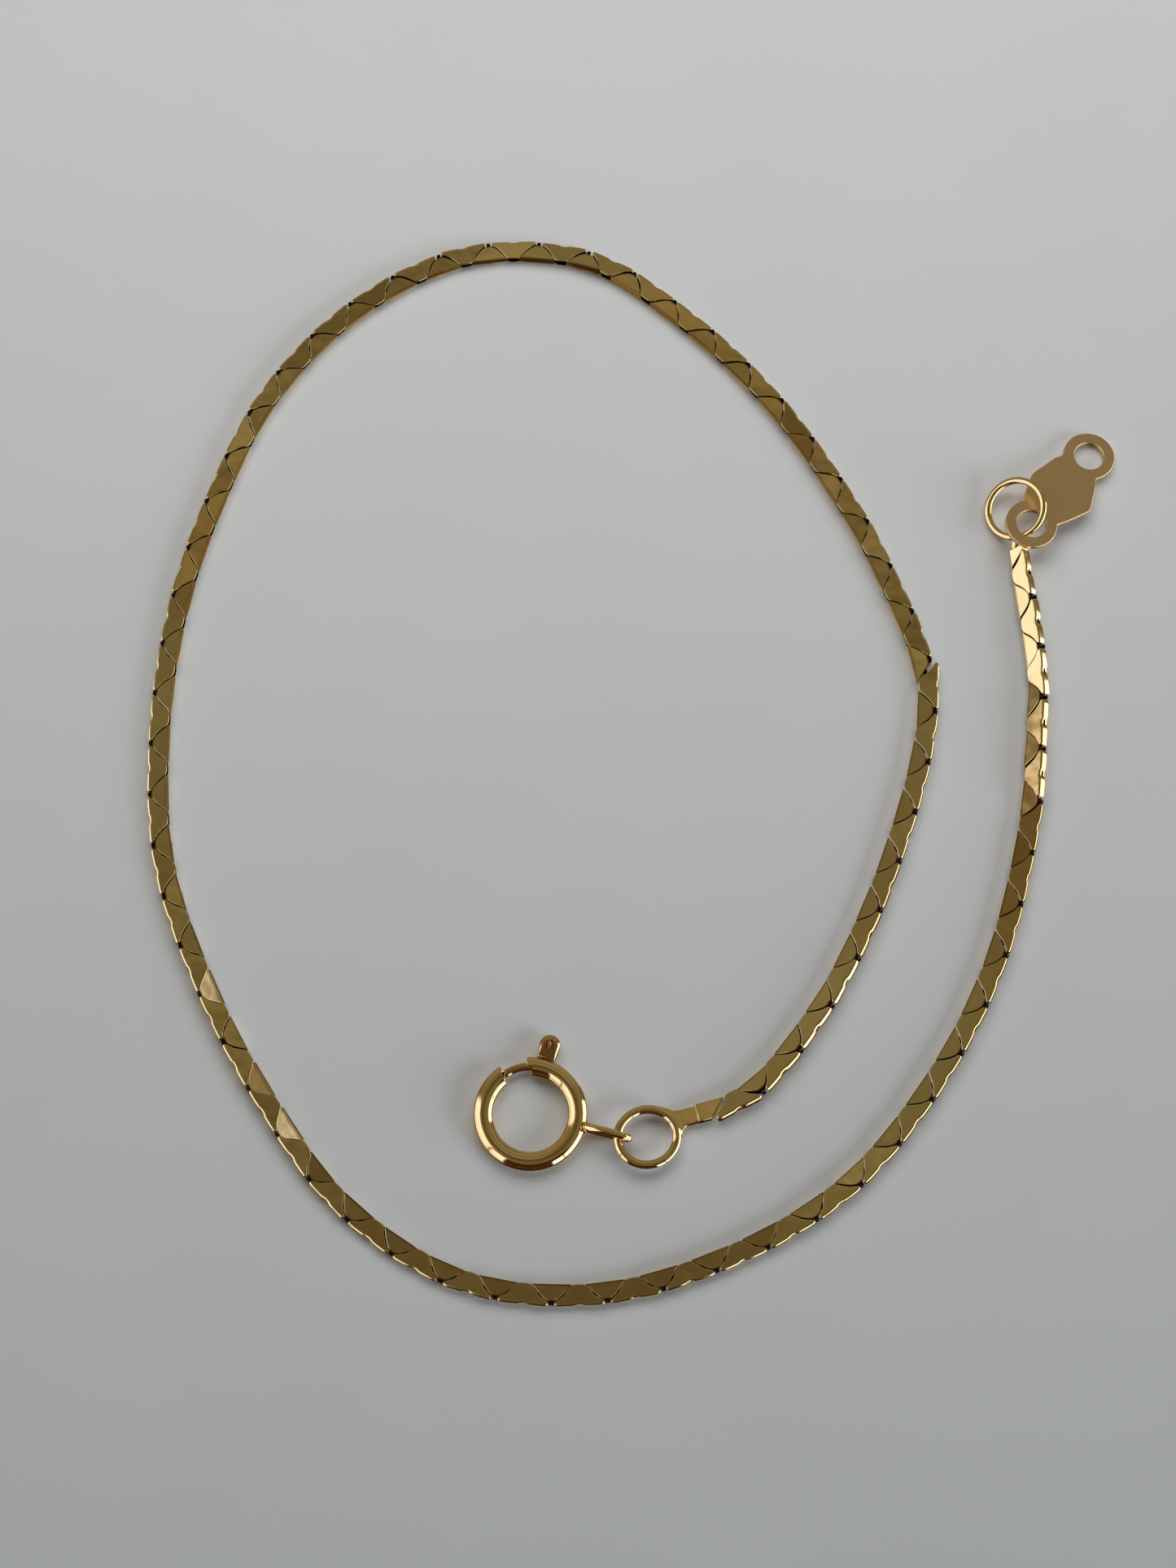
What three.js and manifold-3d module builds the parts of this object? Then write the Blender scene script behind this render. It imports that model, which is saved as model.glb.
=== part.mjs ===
// Link bracelet laid open on a table: a flat cobra chain with a spring ring clasp at one end
// and a bare end tag at the other.
// Units are millimetres, +Z is up and the table top is z = 0.
// The origin is on the table, under the middle of the bracelet's bounding box.
import * as THREE from 'three';
import { mergeVertices } from 'three/addons/utils/BufferGeometryUtils.js';
import Module from 'manifold-3d';

const wasm = await Module();
wasm.setup();

// Driving dimensions of the chain
const LINK_PITCH = 2.405;
const HOOD_COUNT = 69;
const FIRST_HOOD_AT = 1.05;
const CHAIN_HALF_WIDTH = 0.45;
const HOOD_THICKNESS = 0.42;
const WEDGE_THICKNESS = 0.39;

// The tongue of each wedge link runs through the hood links on both sides of it
const TONGUE = { reach: 0.75, low: -0.18, high: 0.06, thickness: 0.2 };
const EYE = { halfWidth: 0.18, depth: 0.13, height: 0.18 };

// The two end links are loose in their hoods: a thinner tongue in a wider socket
const LOOSE_TONGUE = { thickness: 0.12, clearance: 0.05, start: 0.1 };
const SOCKET = { end: 0.15, open: 1.3, low: -0.22, high: 0.1, height: 0.2 };

// The end link on the clasp side is turned in its joint, so the groove gapes at the outer edge
const TURNED_LINK = { turn: -15, pivotX: 0.6, pivotY: 0.35 };

// Driving dimensions of the spring ring clasp, angles in degrees from +X
const CLASP = {
  x: -4.65, y: -17.22, radius: 2.085, tube: 0.415, bore: 0.295,
  mouthStart: 91, mouthEnd: 126, sides: 12, boreSides: 8, segments: 32,
};
const BAIL = { angle: -14.3, middle: 3.475, halfLength: 1.145, halfHeight: 0.5, wire: 0.17 };
const BAIL_SOLDER = { radial: 0.14, across: 0.26, upright: 0.3, height: 0.18 };
const BOLT = { wire: 0.175, start: 60, end: 129.5, sides: 8, segments: 12 };
const KNOB = {
  angle: 74.6, halfWidth: 0.43, footHalfWidth: 0.37, foot: 2.54, top: 3.6, thickness: 0.5,
  stemHalfWidth: 0.25, stemThickness: 0.24, stemTop: 2.64,
  dimpleMiddle: 3.11, dimpleHalfWidth: 0.16, dimpleLength: 0.46, dimpleDepth: 0.1,
};
const LATCH_TRAVEL = 38;
const SLOT = { margin: 7.2, inner: 2.25, outer: 2.7, height: 0.34 };

// Driving dimensions of the jump rings, the centre lines as half axes
const CLASP_RING = { x: 0.49, y: -18.25, z: 0.55, halfLength: 1.31, halfWidth: 1.2, wire: 0.19, tilt: 5 };
const TAG_RING = { x: 17.66, y: 10.81, z: 0.8, radius: 1.34, wire: 0.16, slopeX: 0.5, slopeY: 0.15 };
// The solder on the tag's ring starts inside the last link and widens a little towards the ring
const TAG_LINK_CUT = 0.15;
const TAG_SOLDER = { x: 0.1, y: 0.2, start: 0.2, end: 0.17 };

// The flat tab between the ring and the turned end link. It spreads into a fork that follows the ring.
const TAB_THICKNESS = 0.3;
const TAB_OUTLINE = [
  [-0.35, -0.4], [-0.35, 0.38], [-1.45, 0.41], [-1.75, 0.53], [-1.98, 0.7], [-1.98, 0.49], [-1.68, 0.05],
  [-1.6, -0.36], [-1.68, -0.77], [-1.84, -1.05], [-1.62, -1], [-1.43, -0.7], [-1.2, -0.48], [-1, -0.42],
];
const TAB_STEP = { start: -0.52, end: -0.3, halfWidth: 0.38 };
const RING_SIDES = 8;
const RING_SEGMENTS = 26;

// Driving dimensions of the end tag, u runs from the ring's eyelet to the free one
const TAG = {
  x: 18.33, y: 9.98, z: 0.9, farX: 21.25, farY: 13.56, farZ: 0.289, thickness: 0.26,
  eyelet: 1.2, hole: 0.7, neckAngle: 52, neckAt: 0.9, neckHalfWidth: 1.02,
  shoulderAt: 1.1, shoulderHalfWidth: 1.16, rightHalfWidth: 1.7, leftHalfWidth: 1.5, leftCornerBack: 0.19,
};

// The chain's centre line on the table, walked from the clasp to the tag.
// roll is the angle in degrees by which the scalloped outer edge is raised.
const ROUTE = [
  { x: 3.45, y: -17.14, roll: 10 },
  { x: 5.25, y: -16.12, roll: 22 },
  { x: 6.98, y: -14.26, roll: 26 },
  { x: 8.97, y: -11.34, roll: 26 },
  { x: 10.75, y: -7.72, roll: 16 },
  { x: 12.14, y: -4.01, roll: 12 },
  { x: 13.06, y: -0.71, roll: 11 },
  { x: 13.37, y: 1.9, roll: 8 },
  { x: 12.96, y: 4.39, roll: 2 },
  { x: 11.74, y: 7.57, roll: 4 },
  { x: 10.03, y: 11.16, roll: 5 },
  { x: 6.8, y: 16.2, roll: 5 },
  { x: 2.7, y: 20.6, roll: 4 },
  { x: -2.2, y: 24.0, roll: -8 },
  { x: -7.98, y: 24.42, roll: 4 },
  { x: -13.3, y: 21.8, roll: 12 },
  { x: -17.4, y: 17.4, roll: 10 },
  { x: -19.9, y: 12.0, roll: 4 },
  { x: -21.5, y: 6.3, roll: 0 },
  { x: -22.04, y: 0.3, roll: -2 },
  { x: -21.53, y: -5.71, roll: 0 },
  { x: -19.43, y: -11.31, roll: 6 },
  { x: -16.46, y: -16.54, roll: 8 },
  { x: -12.74, y: -21.25, roll: 0 },
  { x: -7.62, y: -24.38, roll: 0 },
  { x: -1.69, y: -24.95, roll: 0 },
  { x: 4.15, y: -23.32, roll: 2 },
  { x: 9.27, y: -20.28, roll: 10 },
  { x: 13.21, y: -15.67, roll: 14 },
  { x: 15.99, y: -10.44, roll: 15 },
  { x: 17.66, y: -4.61, roll: 8 },
  { x: 18.18, y: -0.61, roll: 42 },
  { x: 18.38, y: 3.4, roll: 47 },
  { x: 17.82, y: 8.4, roll: 46 },
];
const ROW_STEPS = 40;

// One hood link has been pushed outwards and turned, which leaves a small corner in the chain
const BENT_HOOD = { index: 9, out: 0.08, turn: -7 };

// Moves the bounding box's middle onto the origin
const CENTRE_SHIFT = { x: 0, y: 0.107 };

const gold = (name, color, roughness) => {
  const material = new THREE.MeshStandardMaterial({ color, metalness: 1, roughness });
  material.name = name;
  return material;
};

// Solids
const toSolid = (geometry) => {
  geometry.deleteAttribute('normal');
  geometry.deleteAttribute('uv');
  const merged = mergeVertices(geometry, 1e-5);
  return new wasm.Manifold(new wasm.Mesh({
    numProp: 3,
    vertProperties: new Float32Array(merged.attributes.position.array),
    triVerts: new Uint32Array(merged.index.array),
  }));
};

const toGeometry = (solid) => {
  const mesh = solid.getMesh();
  const geometry = new THREE.BufferGeometry();
  geometry.setAttribute('position', new THREE.BufferAttribute(mesh.vertProperties, 3));
  geometry.setIndex(new THREE.BufferAttribute(mesh.triVerts, 1));
  geometry.computeVertexNormals();
  return geometry;
};

const join = (solids) => solids.reduce((all, solid) => all.add(solid));

// A flat plate whose outline is a list of points or a shape, centred on z = 0
const plate = (outline, thickness, curveSegments = 8) => {
  const shape = Array.isArray(outline)
    ? new THREE.Shape(outline.map(([x, y]) => new THREE.Vector2(x, y)))
    : outline;
  const geometry = new THREE.ExtrudeGeometry(shape, { depth: thickness, bevelEnabled: false, curveSegments });
  return geometry.translate(0, 0, -thickness / 2);
};

const block = (lowX, highX, lowY, highY, thickness) => {
  const geometry = new THREE.BoxGeometry(highX - lowX, highY - lowY, thickness);
  return geometry.translate((lowX + highX) / 2, (lowY + highY) / 2, 0);
};

const radians = THREE.MathUtils.degToRad;

// The chain's route
const route = new THREE.CatmullRomCurve3(
  ROUTE.map(({ x, y }) => new THREE.Vector3(x, y, 0)), false, 'catmullrom', 0.5,
);
route.arcLengthDivisions = ROW_STEPS * (ROUTE.length - 1);
const routeLength = route.getLength();
const rowDistances = ROUTE.map((row, index) => route.getLengths()[index * ROW_STEPS]);

const rollAt = (distance) => {
  const after = rowDistances.findIndex((rowDistance) => rowDistance > distance);
  if (after <= 0) {
    return radians(ROUTE[after === 0 ? 0 : ROUTE.length - 1].roll);
  }
  const share = (distance - rowDistances[after - 1]) / (rowDistances[after] - rowDistances[after - 1]);
  return radians(THREE.MathUtils.lerp(ROUTE[after - 1].roll, ROUTE[after].roll, share));
};

// The frame of a link: x along the chain, y towards the straight inner edge, z out of the upper face.
// The link's lowest edge touches the table. Beyond its ends the route goes straight on.
const frameAt = (distance) => {
  const share = THREE.MathUtils.clamp(distance / routeLength, 0, 1);
  const along = route.getTangentAt(share);
  const beyond = distance - share * routeLength;
  const roll = rollAt(distance);
  const outwards = new THREE.Vector3(along.y, -along.x, 0);
  const inner = outwards.clone().multiplyScalar(-Math.cos(roll));
  inner.z = -Math.sin(roll);
  const face = new THREE.Vector3().crossVectors(along, inner);
  const height = CHAIN_HALF_WIDTH * Math.abs(Math.sin(roll)) + (HOOD_THICKNESS / 2) * Math.cos(roll);
  const place = route.getPointAt(share).addScaledVector(along, beyond);
  place.z = height;
  return new THREE.Matrix4().makeBasis(along, inner, face).setPosition(place);
};

// Link outlines, the half on +x of each
const HOOD_SIDE = [
  [0, -0.385], [0.55, -0.45], [1.06, -0.43], [1.06, -0.33], [0.8, -0.06], [0.44, 0.33], [0.27, 0.44],
];
const HOOD_NOTCH = -0.385;
const WEDGE_SIDE = [[0.11, -0.31], [0.335, -0.06], [0.7, 0.33], [0.86, 0.44]];
// The end links are as wide as the tab, and their inner corner is cut back to clear the hood
const END_LINK_SIDE = [[0.06, -0.38], [0.335, -0.06], [0.7, 0.33], [0.78, 0.44]];

const mirrored = (side) => side.map(([x, y]) => [-x, y]).reverse().filter(([x]) => x !== 0);

const hoodSolid = () => {
  const hood = toSolid(plate([...HOOD_SIDE, ...mirrored(HOOD_SIDE)], HOOD_THICKNESS));
  const eye = block(
    -EYE.halfWidth, EYE.halfWidth, -CHAIN_HALF_WIDTH - EYE.depth, HOOD_NOTCH + EYE.depth, EYE.height,
  );
  return hood.subtract(toSolid(eye));
};

const socketSolid = (side) => {
  const near = Math.min(side * SOCKET.end, side * SOCKET.open);
  const far = Math.max(side * SOCKET.end, side * SOCKET.open);
  return toSolid(block(near, far, SOCKET.low, SOCKET.high, SOCKET.height));
};

const wedgeSolid = () => {
  const wedge = toSolid(plate([...WEDGE_SIDE, ...mirrored(WEDGE_SIDE)], WEDGE_THICKNESS));
  return wedge.add(toSolid(block(-TONGUE.reach, TONGUE.reach, TONGUE.low, TONGUE.high, TONGUE.thickness)));
};

const placed = (solid, matrix) => solid.transform(matrix.toArray());

const chainSolid = () => {
  const hood = hoodSolid();
  const wedge = wedgeSolid();
  const links = [];
  for (let index = 0; index < HOOD_COUNT; index += 1) {
    const matrix = frameAt(FIRST_HOOD_AT + index * LINK_PITCH);
    let link = hood;
    if (index === 0) {
      link = hood.subtract(socketSolid(-1));
    } else if (index === HOOD_COUNT - 1) {
      link = hood.subtract(socketSolid(1));
    } else if (index === BENT_HOOD.index) {
      matrix.multiply(new THREE.Matrix4().makeTranslation(0, -BENT_HOOD.out, 0));
      matrix.multiply(new THREE.Matrix4().makeRotationZ(radians(BENT_HOOD.turn)));
    }
    links.push(placed(link, matrix));
    if (index < HOOD_COUNT - 1) {
      links.push(placed(wedge, frameAt(FIRST_HOOD_AT + (index + 0.5) * LINK_PITCH)));
    }
  }
  return join(links);
};

// Half of a wedge link, cut off square. side is the direction of the last hood along x,
// and cut is where the square end stands.
const endLinkSolid = (side, cut) => {
  const [lowest, highest] = [END_LINK_SIDE[0][1], END_LINK_SIDE[END_LINK_SIDE.length - 1][1]];
  const outline = [[cut, lowest], ...END_LINK_SIDE.map(([x, y]) => [side * x, y]), [cut, highest]];
  return toSolid(plate(side > 0 ? outline : outline.reverse(), WEDGE_THICKNESS));
};

// The thin tongue of an end link, loose in the last hood's socket
const looseTongueSolid = (side) => {
  const root = -side * LOOSE_TONGUE.start;
  const reach = side * (LINK_PITCH / 2 - SOCKET.end - LOOSE_TONGUE.clearance);
  const margin = (SOCKET.height - LOOSE_TONGUE.thickness) / 2;
  return toSolid(block(
    Math.min(root, reach), Math.max(root, reach),
    SOCKET.low + margin, SOCKET.high - margin, LOOSE_TONGUE.thickness,
  ));
};

const claspRingSolid = () => {
  const { x, y, z, halfLength, halfWidth, wire, tilt } = CLASP_RING;
  const seat = frameAt(FIRST_HOOD_AT - LINK_PITCH / 2);
  const turned = seat.clone();
  turned.multiply(new THREE.Matrix4().makeTranslation(TURNED_LINK.pivotX, TURNED_LINK.pivotY, 0));
  turned.multiply(new THREE.Matrix4().makeRotationZ(radians(TURNED_LINK.turn)));
  turned.multiply(new THREE.Matrix4().makeTranslation(-TURNED_LINK.pivotX, -TURNED_LINK.pivotY, 0));
  const direction = Math.atan2(turned.elements[1], turned.elements[0]);
  const ring = new THREE.TorusGeometry(halfWidth, wire, RING_SIDES, RING_SEGMENTS);
  ring.applyMatrix4(new THREE.Matrix4().makeScale(halfLength / halfWidth, 1, 1));
  ring.rotateY(radians(tilt)).rotateZ(direction).translate(x, y, z);
  const step = block(TAB_STEP.start, TAB_STEP.end, -TAB_STEP.halfWidth, TAB_STEP.halfWidth, HOOD_THICKNESS);
  return join([
    toSolid(ring),
    placed(toSolid(plate(TAB_OUTLINE, TAB_THICKNESS)), turned),
    placed(toSolid(step), turned),
    placed(endLinkSolid(1, TAB_STEP.start), turned),
    placed(looseTongueSolid(1), seat),
  ]);
};

const tagRingSolid = () => {
  const { x, y, z, radius, wire, slopeX, slopeY } = TAG_RING;
  const matrix = frameAt(FIRST_HOOD_AT + (HOOD_COUNT - 0.5) * LINK_PITCH);
  const upwards = new THREE.Vector3(-slopeX, -slopeY, 1).normalize();
  const lean = new THREE.Quaternion().setFromUnitVectors(new THREE.Vector3(0, 0, 1), upwards);
  const ring = new THREE.TorusGeometry(radius, wire, RING_SIDES, RING_SEGMENTS);
  ring.applyQuaternion(lean).translate(x, y, z);
  // The solder runs from the square end of the last link to the ring
  const end = new THREE.Vector3(TAG_SOLDER.x, TAG_SOLDER.y, 0).applyMatrix4(matrix);
  const seat = new THREE.Vector3(0, -radius, 0).applyQuaternion(lean).add(new THREE.Vector3(x, y, z));
  const middle = end.clone().add(seat).multiplyScalar(0.5);
  const length = end.distanceTo(seat);
  const solder = new THREE.CylinderGeometry(TAG_SOLDER.end, TAG_SOLDER.start, length, RING_SIDES);
  const direction = seat.clone().sub(end).normalize();
  solder.applyQuaternion(new THREE.Quaternion().setFromUnitVectors(new THREE.Vector3(0, 1, 0), direction));
  solder.translate(middle.x, middle.y, middle.z);
  return join([
    toSolid(ring),
    toSolid(solder),
    placed(endLinkSolid(-1, TAG_LINK_CUT), matrix),
    placed(looseTongueSolid(-1), matrix),
  ]);
};

// A closed sector of a flat ring, angles in degrees
const sector = (inner, outer, start, end, thickness) => {
  const shape = new THREE.Shape();
  shape.absarc(0, 0, outer, radians(start), radians(end), false);
  if (inner > 0) {
    shape.absarc(0, 0, inner, radians(end), radians(start), true);
  } else {
    shape.lineTo(0, 0);
  }
  return plate(shape, thickness, 8);
};

const claspBodySolid = () => {
  const { x, y, radius, tube, bore, mouthStart, mouthEnd, sides, boreSides, segments } = CLASP;
  const outer = toSolid(new THREE.TorusGeometry(radius, tube, sides, segments));
  const inner = toSolid(new THREE.TorusGeometry(radius, bore, boreSides, segments));
  const mouth = toSolid(sector(0, radius + 1, mouthStart, mouthEnd, 2));
  const slotStart = KNOB.angle - LATCH_TRAVEL - SLOT.margin;
  const slot = toSolid(sector(SLOT.inner, SLOT.outer, slotStart, KNOB.angle + SLOT.margin, SLOT.height));
  // The bail stands upright on the tube, with its foot in a drop of solder
  const bail = new THREE.TorusGeometry(BAIL.halfHeight, BAIL.wire, RING_SIDES, 20);
  bail.applyMatrix4(new THREE.Matrix4().makeScale((BAIL.halfLength - BAIL.wire) / BAIL.halfHeight, 1, 1));
  bail.rotateX(Math.PI / 2).translate(BAIL.middle, 0, BAIL.halfHeight + BAIL.wire - tube);
  const solder = new THREE.SphereGeometry(1, 8, 6);
  solder.scale(BAIL_SOLDER.radial, BAIL_SOLDER.across, BAIL_SOLDER.upright);
  solder.translate(radius + tube, 0, BAIL_SOLDER.height);
  bail.rotateZ(radians(BAIL.angle));
  solder.rotateZ(radians(BAIL.angle));
  const body = outer.subtract(inner).subtract(mouth).subtract(slot);
  return join([body, toSolid(bail), toSolid(solder)]).translate([x, y, tube]);
};

const latchSolid = () => {
  const { wire, start, end, sides, segments } = BOLT;
  const arc = [];
  for (let step = 0; step <= segments; step += 1) {
    const angle = radians(THREE.MathUtils.lerp(start, end, step / segments));
    arc.push(new THREE.Vector3(CLASP.radius * Math.cos(angle), CLASP.radius * Math.sin(angle), 0));
  }
  const section = new THREE.Shape();
  section.absarc(0, 0, wire, 0, 2 * Math.PI, false);
  const bolt = new THREE.ExtrudeGeometry(section, {
    steps: segments, curveSegments: sides, bevelEnabled: false, extrudePath: new THREE.CatmullRomCurve3(arc),
  });
  // The knob is a domed tab: its outline has a round top, and a stem goes down through the slot
  const outline = new THREE.Shape();
  const domeMiddle = KNOB.top - KNOB.halfWidth;
  outline.moveTo(KNOB.foot, -KNOB.footHalfWidth);
  outline.absarc(domeMiddle, 0, KNOB.halfWidth, -Math.PI / 2, Math.PI / 2, false);
  outline.lineTo(KNOB.foot, KNOB.footHalfWidth);
  const knob = toSolid(plate(outline, KNOB.thickness, 10));
  const stem = toSolid(block(
    CLASP.radius, KNOB.stemTop, -KNOB.stemHalfWidth, KNOB.stemHalfWidth, KNOB.stemThickness,
  ));
  const half = KNOB.dimpleLength / 2;
  const middle = KNOB.dimpleMiddle;
  const lens = plate([
    [middle - half, 0], [middle, -KNOB.dimpleHalfWidth], [middle + half, 0], [middle, KNOB.dimpleHalfWidth],
  ], KNOB.dimpleDepth * 2).translate(0, 0, KNOB.thickness / 2);
  const lever = knob.subtract(toSolid(lens)).add(stem).rotate([0, 0, KNOB.angle]);
  return toSolid(bolt).add(lever).translate([CLASP.x, CLASP.y, CLASP.tube]);
};

const endTagSolid = () => {
  const near = new THREE.Vector3(TAG.x, TAG.y, TAG.z);
  const far = new THREE.Vector3(TAG.farX, TAG.farY, TAG.farZ);
  const length = near.distanceTo(far);
  const along = far.clone().sub(near).normalize();
  const across = new THREE.Vector3(-along.y, along.x, 0).normalize();
  const face = new THREE.Vector3().crossVectors(along, across);
  const neckAngle = radians(TAG.neckAngle);
  const outline = new THREE.Shape();
  outline.absarc(0, 0, TAG.eyelet, neckAngle, 2 * Math.PI - neckAngle, false);
  outline.lineTo(TAG.neckAt, -TAG.neckHalfWidth);
  outline.lineTo(TAG.shoulderAt, -TAG.shoulderHalfWidth);
  outline.lineTo(length / 2, -TAG.rightHalfWidth);
  outline.lineTo(length - TAG.shoulderAt, -TAG.shoulderHalfWidth);
  outline.lineTo(length - TAG.neckAt, -TAG.neckHalfWidth);
  outline.absarc(length, 0, TAG.eyelet, Math.PI + neckAngle, 3 * Math.PI - neckAngle, false);
  outline.lineTo(length - TAG.neckAt, TAG.neckHalfWidth);
  outline.lineTo(length - TAG.shoulderAt, TAG.shoulderHalfWidth);
  outline.lineTo(length / 2 - TAG.leftCornerBack, TAG.leftHalfWidth);
  outline.lineTo(TAG.shoulderAt, TAG.shoulderHalfWidth);
  outline.lineTo(TAG.neckAt, TAG.neckHalfWidth);
  for (const middle of [0, length]) {
    const eye = new THREE.Path();
    eye.absarc(middle, 0, TAG.hole, 0, 2 * Math.PI, true);
    outline.holes.push(eye);
  }
  const matrix = new THREE.Matrix4().makeBasis(along, across, face).setPosition(near);
  return toSolid(plate(outline, TAG.thickness, 14).applyMatrix4(matrix));
};

// The assembly
const bracelet = new THREE.Group();
bracelet.name = 'link_bracelet';

const addPiece = (name, solid, material) => {
  const mesh = new THREE.Mesh(toGeometry(solid), material);
  mesh.name = name;
  mesh.position.set(CENTRE_SHIFT.x, CENTRE_SHIFT.y, 0);
  bracelet.add(mesh);
};

const polishedGold = gold('polished_gold', 0xb8975a, 0.16);
addPiece('chain', chainSolid(), gold('chain_gold', 0xa5884a, 0.22));
addPiece('clasp_jump_ring', claspRingSolid(), polishedGold);
addPiece('tag_jump_ring', tagRingSolid(), polishedGold);
addPiece('end_tag', endTagSolid(), gold('satin_gold', 0xb0905c, 0.38));
addPiece('clasp_body', claspBodySolid(), polishedGold);
addPiece('clasp_latch', latchSolid(), polishedGold);

export default bracelet;
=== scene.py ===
# A fine flat link bracelet in yellow gold, laid open in a loop on a pale table.
# Lengths are given in millimetres, as a jeweller would, and become metres when a mesh is made.
import math

import bmesh
import bpy
import numpy as np
from mathutils import Matrix, Vector


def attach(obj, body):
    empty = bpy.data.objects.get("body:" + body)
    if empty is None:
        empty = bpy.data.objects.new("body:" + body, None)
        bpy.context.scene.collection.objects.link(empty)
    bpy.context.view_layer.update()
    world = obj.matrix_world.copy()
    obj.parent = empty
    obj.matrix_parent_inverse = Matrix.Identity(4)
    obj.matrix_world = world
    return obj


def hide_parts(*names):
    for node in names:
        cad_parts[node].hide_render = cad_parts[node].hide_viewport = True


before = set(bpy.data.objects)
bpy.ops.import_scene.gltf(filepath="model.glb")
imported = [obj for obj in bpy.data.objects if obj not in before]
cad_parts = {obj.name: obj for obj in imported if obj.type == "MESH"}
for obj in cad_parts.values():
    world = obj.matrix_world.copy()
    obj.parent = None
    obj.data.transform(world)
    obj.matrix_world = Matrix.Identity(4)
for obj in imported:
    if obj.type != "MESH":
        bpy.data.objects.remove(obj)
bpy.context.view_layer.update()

MM = 0.001
X_AXIS = Vector((1, 0, 0))
Y_AXIS = Vector((0, 1, 0))
Z_AXIS = Vector((0, 0, 1))
# The whole bracelet stands this far along y, so that its box is centred
CENTRE_SHIFT = Vector((0, 0.107, 0))

# The chain: hood links closed on the scalloped outer edge, wedge links closed on the straight inner one
LINK_PITCH = 2.405
HOOD_COUNT = 69
FIRST_HOOD_AT = 1.05
CHAIN_HALF_WIDTH = 0.45
HOOD_THICKNESS = 0.42
WEDGE_THICKNESS = 0.39
SHEET = 0.105
PIN = {"x": 0.4, "y": 0.0, "radius": 0.065}
HOOD_EYE = {"radii": (0.17, 0.3, 0.085), "middle": (0, -0.5, 0)}
# Where the sheets are folded over, across the chain
HOOD_FOLD_Y = -0.345
WEDGE_FOLD_Y = 0.34
TONGUE = {"ring": 0.15, "eye": 0.085, "half_width": 0.1, "thickness": 0.06}

# The route's points and the angle by which the outer edge is raised there
ROUTE = [
    (3.45, -17.14, 10), (5.25, -16.12, 22), (6.98, -14.26, 26), (8.97, -11.34, 26), (10.75, -7.72, 16),
    (12.14, -4.01, 12), (13.06, -0.71, 11), (13.37, 1.9, 8), (12.96, 4.39, 2), (11.74, 7.57, 4),
    (10.03, 11.16, 5), (6.8, 16.2, 5), (2.7, 20.6, 4), (-2.2, 24.0, -8), (-7.98, 24.42, 4),
    (-13.3, 21.8, 12), (-17.4, 17.4, 10), (-19.9, 12.0, 4), (-21.5, 6.3, 0), (-22.04, 0.3, -2),
    (-21.53, -5.71, 0), (-19.43, -11.31, 6), (-16.46, -16.54, 8), (-12.74, -21.25, 0), (-7.62, -24.38, 0),
    (-1.69, -24.95, 0), (4.15, -23.32, 2), (9.27, -20.28, 10), (13.21, -15.67, 14), (15.99, -10.44, 15),
    (17.66, -4.61, 8), (18.18, -0.61, 42), (18.38, 3.4, 47), (17.82, 8.4, 46),
]
ROW_STEPS = 40
ROUTE_STEP = 0.2
# The hood that has been knocked out of line, and by how much
BENT_HOOD = {"index": 9, "out": 0.08, "turn": -7}
# The end link on the clasp side is turned in its joint, so the groove gapes at the outer edge
TURNED_LINK = {"turn": -15, "pivot_x": 0.6, "pivot_y": 0.35}
# Links that lie differently from their neighbours, as degrees about the chain's length and across it.
# Hoods have even numbers and wedges odd ones, counted from the clasp.
ODD_LINKS = {
    81: (19, 0), 85: (20, 0), 87: (17, 0),
    128: (-14, 0), 129: (-3, 3), 130: (-4, 2), 131: (-6, 4), 135: (0, 4),
}
# Every link also tilts by up to this many degrees at random
LINK_TILT = 2.6

# The spring ring clasp, angles in degrees from +x
CLASP = {"x": -4.65, "y": -17.22, "radius": 2.085, "tube": 0.415, "bore": 0.295}
MOUTH = {"right": 91.0, "right_step": 3.0, "left": 126.0, "left_slant": 2.8}
BAIL = {"angle": -14.3, "middle": 3.475, "half_length": 0.975, "half_height": 0.5, "wire": 0.17}
BAIL_SOLDER = {"radii": (0.16, 0.26, 0.3), "height": 0.18}
BOLT = {"wire": 0.175, "start": 60.0, "end": 129.5}
KNOB = {"angle": 74.6, "half_width": 0.46, "foot": 2.505, "top": 3.6, "thickness": 0.5, "rounding": 0.23}
DIMPLE = {"radii": (0.25, 0.13, 0.16), "behind_dome": 0.04}
STEM = {"half_width": 0.25, "thickness": 0.24}
SLOT = {"start": 29.4, "end": 81.8, "inner": 2.25, "outer": 2.7, "height": 0.34}

# The jump rings and the end tag
CLASP_RING = {
    "x": 0.49, "y": -18.25, "z": 0.55, "half_length": 1.31, "half_width": 1.2, "wire": 0.19, "tilt": 5,
}
TAG_RING = {"x": 17.66, "y": 10.81, "z": 0.8, "radius": 1.34, "wire": 0.16, "slope_x": 0.5, "slope_y": 0.15}
TAG_SOLDER = {"radius": 0.17, "swell": 0.25}
TAG_NEAR = Vector((18.33, 9.98, 0.9))
TAG_FAR = Vector((21.25, 13.56, 0.289))
TAG = {"eyelet": 1.2, "hole": 0.7, "thickness": 0.26, "edge": 0.03, "neck_turn": 52}
# The tag's corners as distances along its axis and from it: neck and shoulder from the eyelet's
# middle, and the widest corners from the tag's middle
TAG_NECK = (0.9, 1.02)
TAG_SHOULDER = (1.12, 1.16)
TAG_CORNERS = {"right": (0.0, 1.7), "left": (0.19, 1.5)}
# The rounded rim that the punch leaves: the depth below the face, and how much wider the hole is there
PUNCHED_RIM = [(-0.05, 0.07), (0, 0.03), (0.014, 0.008), (0.04, 0)]


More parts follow.
